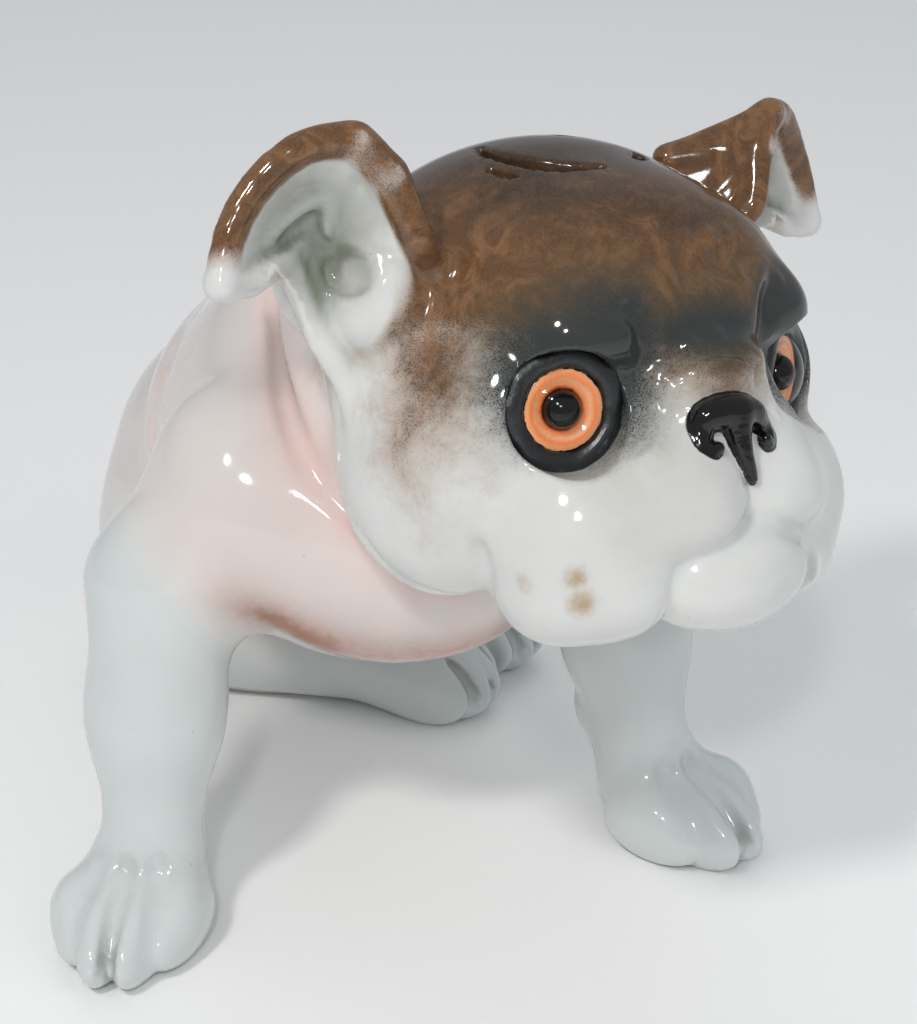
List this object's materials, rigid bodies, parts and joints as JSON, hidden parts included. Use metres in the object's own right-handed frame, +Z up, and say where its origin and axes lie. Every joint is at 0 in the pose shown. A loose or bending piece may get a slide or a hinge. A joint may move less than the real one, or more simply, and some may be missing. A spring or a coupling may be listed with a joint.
{
  "type": "dog figurine night light",
  "caption": "Seated bulldog figurine in hollow glazed porcelain with inset glass eyes, air slots in the crown and a small lamp unit that lifts out of the open base.",
  "frame": {"origin": "centre of the bounding box, on the surface that the figure stands on", "axes": "+Z up, the dog faces -Y, +X is the dog's left side"},
  "size_m": [0.1617, 0.2214, 0.163],
  "materials": {
    "white_porcelain": "clear gloss glaze over white porcelain",
    "blush_porcelain": "clear gloss glaze with a pale pink blush",
    "brown_porcelain": "sprayed brown underglaze fading to white, gloss",
    "black_putty": "black bedding putty, slightly glossy",
    "orange_enamel": "opaque orange enamel behind glass",
    "black_glass": "opaque black glass bead",
    "clear_glass": "clear domed glass",
    "black_rubber": "matt",
    "sheet_brass": "pressed sheet, slightly tarnished",
    "spring_steel": "zinc plated",
    "holder_ceramic": "unglazed steatite",
    "nickel_plate": "nickel plated",
    "bulb_clear": "clear",
    "filament_wire": "drawn wire and glass mount"
  },
  "bodies": {
    "figure": {"torso_casting": "blush_porcelain", "head_casting": "brown_porcelain", "ear_right": "brown_porcelain", "ear_left": "brown_porcelain", "foreleg_right": "white_porcelain", "foreleg_left": "white_porcelain", "hind_leg_right": "white_porcelain", "hind_leg_left": "white_porcelain", "tail": "blush_porcelain", "eye_putty_right": "black_putty", "eye_putty_left": "black_putty", "eye_iris_right": "orange_enamel", "eye_iris_left": "orange_enamel", "eye_pupil_right": "black_glass", "eye_pupil_left": "black_glass", "eye_glass_right": "clear_glass", "eye_glass_left": "clear_glass", "cable_bush": "black_rubber"},
    "lamp_unit": {"base_plate": "sheet_brass", "plate_springs": "spring_steel", "plate_rivets": "sheet_brass", "holder_bracket": "spring_steel", "bracket_screws": "spring_steel", "lampholder_body": "holder_ceramic", "lampholder_thread": "sheet_brass", "centre_contact": "sheet_brass"},
    "bulb": {"bulb_cap": "nickel_plate", "bulb_glass": "bulb_clear", "bulb_stem": "filament_wire"}
  },
  "joints": [
    {"name": "lamp_slide", "type": "slide", "parent": "figure", "child": "lamp_unit", "axis": [0, 0, 1], "range_m": [-0.1, 0]},
    {"name": "bulb_screw", "type": "hinge", "parent": "lamp_unit", "child": "bulb", "pos_m": [-0.01347, 0.0688, 0.03], "axis": [0, 0, 1], "range_deg": [0, 1260]}
  ]
}
